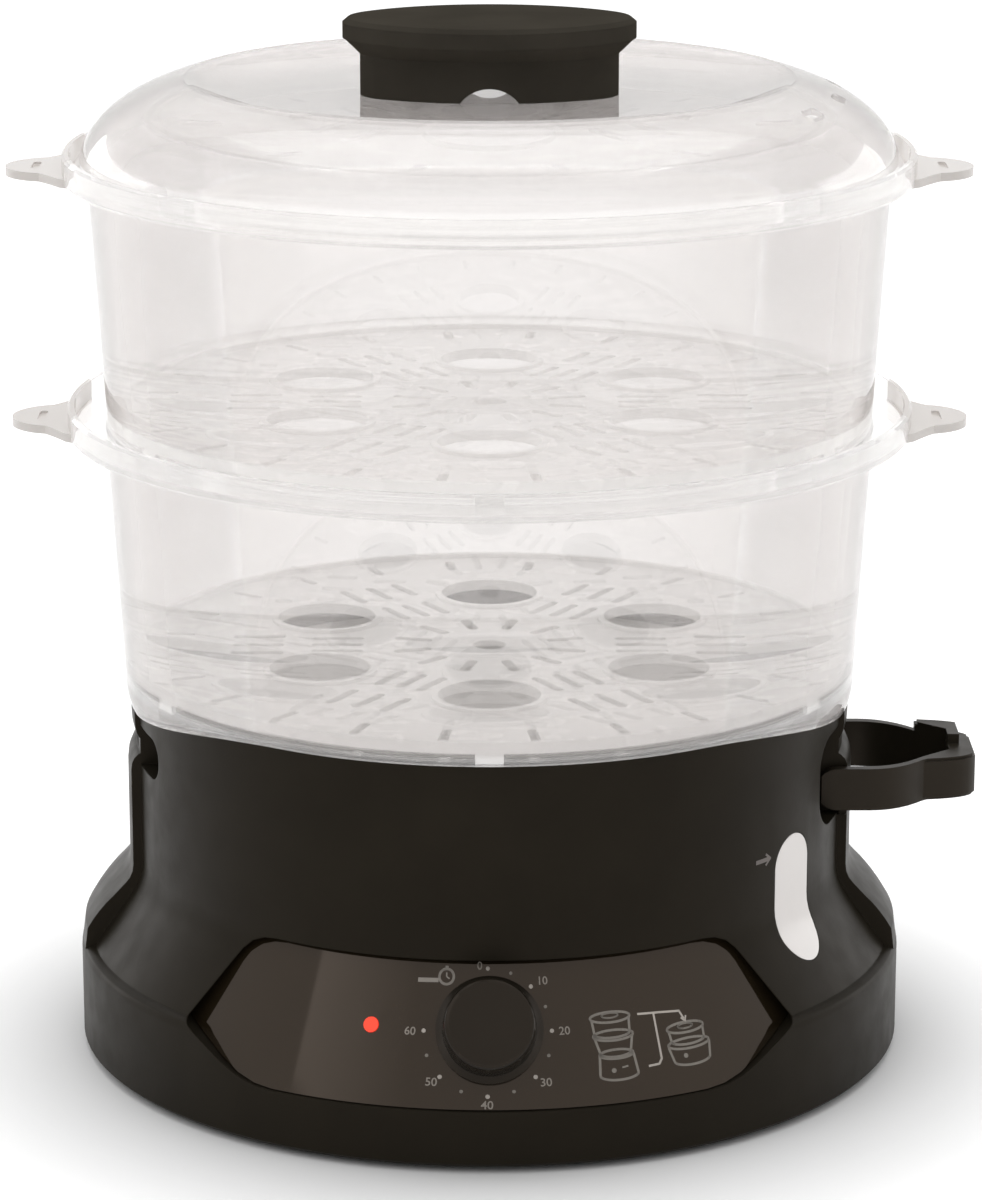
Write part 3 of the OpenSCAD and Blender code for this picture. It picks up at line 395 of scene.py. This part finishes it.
class Print:
    """Flat shapes in mm, laid on a curved face as one thin mesh."""

    def __init__(self, name, place, material):
        self.name, self.place, self.material = name, place, material
        self.verts, self.faces = [], []

    def face(self, points):
        k = len(self.verts)
        self.verts += [self.place(*p) for p in points]
        self.faces.append(tuple(range(k, k + len(points))))

    def stroke(self, points, w):
        """A line of width w, in steps of at most 2 mm so that it follows the curved face."""
        for a, b in zip(points, points[1:]):
            n = int(math.dist(a, b) / 2.0) + 1
            dx, dy = b[0] - a[0], b[1] - a[1]
            size = math.hypot(dx, dy) or 1
            ox, oy = -dy / size * w / 2, dx / size * w / 2
            for i in range(n):
                s, e = i / n, (i + 1) / n
                p = (a[0] + dx * s, a[1] + dy * s)
                q = (a[0] + dx * e, a[1] + dy * e)
                self.face([(p[0] - ox, p[1] - oy), (q[0] - ox, q[1] - oy),
                           (q[0] + ox, q[1] + oy), (p[0] + ox, p[1] + oy)])
        for p in points[1:-1]:
            self.dot(p[0], p[1], w / 2)

    def dot(self, x, y, r, n=16):
        turns = [2 * math.pi * i / n for i in range(n)]
        self.face([(x + r * math.cos(a), y + r * math.sin(a)) for a in turns])

    def ellipse(self, x, y, half_width, half_height, w, start=0, stop=360, n=28):
        turns = [math.radians(start + (stop - start) * i / n) for i in range(n + 1)]
        self.stroke([(x + half_width * math.cos(a), y + half_height * math.sin(a)) for a in turns], w)

    def text(self, words, x, y, size):
        """Words in Blender's own font, centred on x, y."""
        curve = bpy.data.curves.new("digits", "FONT")
        curve.body = words
        curve.size = size
        curve.align_x = "CENTER"
        curve.align_y = "CENTER"
        curve.resolution_u = 4
        curve.offset = 0.04
        holder = bpy.data.objects.new("digits", curve)
        scene.collection.objects.link(holder)
        mesh = holder.evaluated_get(bpy.context.evaluated_depsgraph_get()).to_mesh()
        k = len(self.verts)
        self.verts += [self.place(x + p.co.x, y + p.co.y) for p in mesh.vertices]
        self.faces += [tuple(k + i for i in f.vertices) for f in mesh.polygons]
        bpy.data.objects.remove(holder)

    def make(self, body):
        """Turns the shapes into one mesh that faces outwards, and lets it ride on the body."""
        mesh = bpy.data.meshes.new(self.name)
        mesh.from_pydata(self.verts, [], self.faces)
        b = bmesh.new()
        b.from_mesh(mesh)
        bmesh.ops.triangulate(b, faces=b.faces)
        b.normal_update()
        for f in b.faces:
            c = f.calc_center_median()
            if f.normal.dot(Vector((c.x, c.y, 0))) < 0:
                f.normal_flip()
        b.to_mesh(mesh)
        b.free()
        mesh.materials.append(self.material)
        o = bpy.data.objects.new(self.name, mesh)
        scene.collection.objects.link(o)
        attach(o, body)


def ink(name, color, rough=0.5):
    return plastic(name, color, rough, 0.3, vary=0.1, grain=2200, depth=0.00001)


light_ink = ink("print_light", (0.44, 0.40, 0.36))
dim_ink = ink("print_dim", (0.22, 0.20, 0.175))

# ring of dots round the knob, one for every 5 minutes, and a number at every second one
DIAL_AT = (-0.5, -0.5)
DIAL_R = 18.2
DOTS = 13
DOT_STEP = 22.5    # degrees
NUMBER_SIZE = 3.3
NUMBER_AT = {"0": (-3.0, 18.4), "10": (15.9, 13.8), "20": (21.3, -0.8), "30": (15.1, -15.1),
             "40": (-0.6, -21.2), "50": (-15.6, -15.0), "60": (-22.6, -0.9)}
dial = Print("dial_marks", on_cone, light_ink)
small = Print("dial_minutes", on_cone, dim_ink)
for i in range(DOTS):
    a = math.radians(90 - DOT_STEP * i)
    x, y = DIAL_AT[0] + DIAL_R * math.cos(a), DIAL_AT[1] + DIAL_R * math.sin(a)
    if i % 2:
        small.dot(x, y, 0.5)
    else:
        dial.dot(x, y, 0.62)
numbers = Print("dial_numbers", on_cone, ink("print_mid", (0.27, 0.24, 0.21)))
for words, (x, y) in NUMBER_AT.items():
    numbers.text(words, x, y, NUMBER_SIZE)

# a clock with a bar beside it
clock = Print("clock_sign", on_cone, ink("print_clock", (0.30, 0.27, 0.24)))
clock.ellipse(-13.0, 15.2, 2.2, 2.2, 0.75)
clock.stroke([(-13.0, 17.3), (-13.0, 18.3)], 1.0)
clock.stroke([(-13.0, 15.2), (-13.0, 16.4)], 0.4)
clock.stroke([(-13.0, 15.2), (-12.1, 14.6)], 0.4)
clock.stroke([(-21.6, 13.9), (-15.4, 14.1)], 1.25)

# the stacked set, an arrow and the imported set
W = 0.72
ARROW_W = 0.62
signs = Print("stack_signs", on_cone, dim_ink)


def bowl_sign(x, top, low, half_top, half_low, sag):
    """A bowl seen from slightly above: its rim, two sides and a rounded foot."""
    signs.ellipse(x, top, half_top, 1.5, W)
    signs.stroke([(x - half_top + 0.4, top - 0.6), (x - half_low, low)], W)
    signs.stroke([(x + half_top - 0.4, top - 0.6), (x + half_low, low)], W)
    signs.ellipse(x, low, half_low, sag, W, 180, 360, 16)


bowl_sign(35.0, 2.0, -2.6, 6.0, 5.2, 1.3)
signs.ellipse(35.0, 2.5, 2.5, 0.7, 0.5)
bowl_sign(35.2, -3.2, -8.2, 5.9, 4.4, 1.2)
signs.ellipse(35.4, -8.6, 4.9, 1.3, W)
signs.stroke([(30.5, -8.9), (30.0, -14.4)], W)
signs.stroke([(40.3, -8.9), (40.8, -14.4)], W)
signs.ellipse(35.4, -14.4, 5.4, 1.6, W, 180, 360, 16)
signs.dot(34.0, -13.2, 0.7)
signs.stroke([(36.4, -12.6), (38.2, -12.3)], 0.5)
bowl_sign(57.4, -4.0, -7.6, 5.9, 5.2, 1.3)
signs.ellipse(57.4, -3.6, 2.4, 0.7, 0.5)
signs.ellipse(57.4, -8.6, 6.5, 1.5, W)
signs.stroke([(50.9, -9.0), (51.8, -13.2)], W)
signs.stroke([(63.9, -9.0), (63.0, -13.2)], W)
signs.ellipse(57.4, -13.2, 5.6, 1.6, W, 180, 360, 16)
signs.dot(55.6, -12.0, 0.7)
arrow = Print("stack_arrow", on_cone, light_ink)
arrow.stroke([(43.4, 1.9), (50, 1.5), (56.6, 0.9), (57.6, -1.6)], ARROW_W)
arrow.stroke([(56.7, -1.1), (57.8, -2.3), (58.4, -0.7)], 0.5)
arrow.stroke([(48.4, 1.5), (48.2, -11.6), (47.2, -13.0), (44.0, -13.2)], ARROW_W)

# a small arrow that points at the window
level = Print("level_mark", on_drum, ink("print_level", (0.16, 0.14, 0.13)))
level.stroke([(-3.0, 0), (3.2, 0)], 1.3)
level.stroke([(1.4, 1.7), (3.6, 0), (1.4, -1.7)], 0.7)

for p in (dial, small, numbers, clock, signs, arrow, level):
    p.make("base")

# ---------- floor, backdrop and light ----------


FLOOR_GREY = 0.82
FLOOR_GLOW = 0.38             # only as it is seen, it lights nothing
GLOW_FROM = (0.125, 0.19)     # metres from the middle, so that the shadow round the base stays


def seen_rays(t):
    """1 where the eye, a reflection or a clear piece looks at the background, else 0."""
    path = t.nodes.new("ShaderNodeLightPath")
    seen = math_node(t, "MAXIMUM", path.outputs["Is Camera Ray"], path.outputs["Is Glossy Ray"])
    return math_node(t, "MAXIMUM", seen, path.outputs["Is Transmission Ray"])


def floor_material():
    m, t, bsdf = new_material("studio_floor")
    bsdf.inputs["Base Color"].default_value = (FLOOR_GREY, FLOOR_GREY, FLOOR_GREY, 1)
    bsdf.inputs["Roughness"].default_value = 0.9
    bsdf.inputs["Specular IOR Level"].default_value = 0.0
    glow = t.nodes.new("ShaderNodeEmission")
    far = t.nodes.new("ShaderNodeVectorMath")
    far.operation = "LENGTH"
    link(t, coords(t), far.inputs[0])
    strength = span(t, far.outputs["Value"], *GLOW_FROM, 0.0, FLOOR_GLOW)
    link(t, math_node(t, "MULTIPLY", seen_rays(t), strength), glow.inputs["Strength"])
    add = t.nodes.new("ShaderNodeAddShader")
    link(t, bsdf.outputs["BSDF"], add.inputs[0])
    link(t, glow.outputs["Emission"], add.inputs[1])
    link(t, add.outputs["Shader"], t.nodes["Material Output"].inputs["Surface"])
    return m


bpy.ops.mesh.primitive_circle_add(vertices=128, radius=9, fill_type="NGON", location=(0, 0, -0.0004))
floor = bpy.context.object
floor.name = "floor"
floor.data.materials.append(floor_material())

# the room's light grows with height and towards the back, and the backdrop is seen as plain white
world = bpy.data.worlds.new("studio")
world.use_nodes = True
scene.world = world
wt = world.node_tree
back = wt.nodes["Background"]
back.inputs["Color"].default_value = (1, 1, 1, 1)
sky = wt.nodes.new("ShaderNodeSeparateXYZ")
link(wt, wt.nodes.new("ShaderNodeTexCoord").outputs["Generated"], sky.inputs[0])
overhead = span(wt, sky.outputs["Z"], 0.0, 0.75, 0.42, 0.9)
behind = span(wt, sky.outputs["Y"], 0.1, 0.8, 0.0, 0.3)
mix = wt.nodes.new("ShaderNodeMix")
mix.data_type = "FLOAT"
link(wt, math_node(wt, "ADD", overhead, behind), mix.inputs["A"])
mix.inputs["B"].default_value = 1.0
link(wt, seen_rays(wt), mix.inputs["Factor"])
link(wt, mix.outputs["Result"], back.inputs["Strength"])

LAMPS_AIM_AT = Vector((0, 0, 0.12))


def softbox(name, azimuth, elevation, distance, size, radiance, fades=False):
    """A soft lamp. Azimuth is 0 in front of the object and grows to the right, where it may fade."""
    a, e = math.radians(azimuth), math.radians(elevation)
    away = Vector((math.sin(a) * math.cos(e), -math.cos(a) * math.cos(e), math.sin(e)))
    data = bpy.data.lights.new(name, "AREA")
    data.shape = "RECTANGLE"
    data.size, data.size_y = size
    data.energy = radiance * math.pi * size[0] * size[1]
    if fades:
        data.use_nodes = True
        t = data.node_tree
        across = t.nodes.new("ShaderNodeSeparateXYZ")
        link(t, t.nodes.new("ShaderNodeNewGeometry").outputs["Parametric"], across.inputs[0])
        link(t, span(t, across.outputs["X"], 0, 1, 1, 0), t.nodes["Emission"].inputs["Strength"])
    o = bpy.data.objects.new(name, data)
    scene.collection.objects.link(o)
    o.location = LAMPS_AIM_AT + distance * away
    o.rotation_euler = (-away).to_track_quat("-Z", "Y").to_euler()
    o.visible_camera = False


softbox("top_softbox", 180, 75, 1.55, (1.5, 1.4), 0.95)
softbox("left_softbox", -41, 40, 1.6, (0.85, 0.9), 1.0, fades=True)
softbox("left_back_softbox", -128, 9, 1.8, (1.4, 0.5), 1.9)
softbox("right_back_softbox", 122, 12, 1.8, (1.2, 0.6), 1.6)

scene.view_settings.view_transform = "Standard"
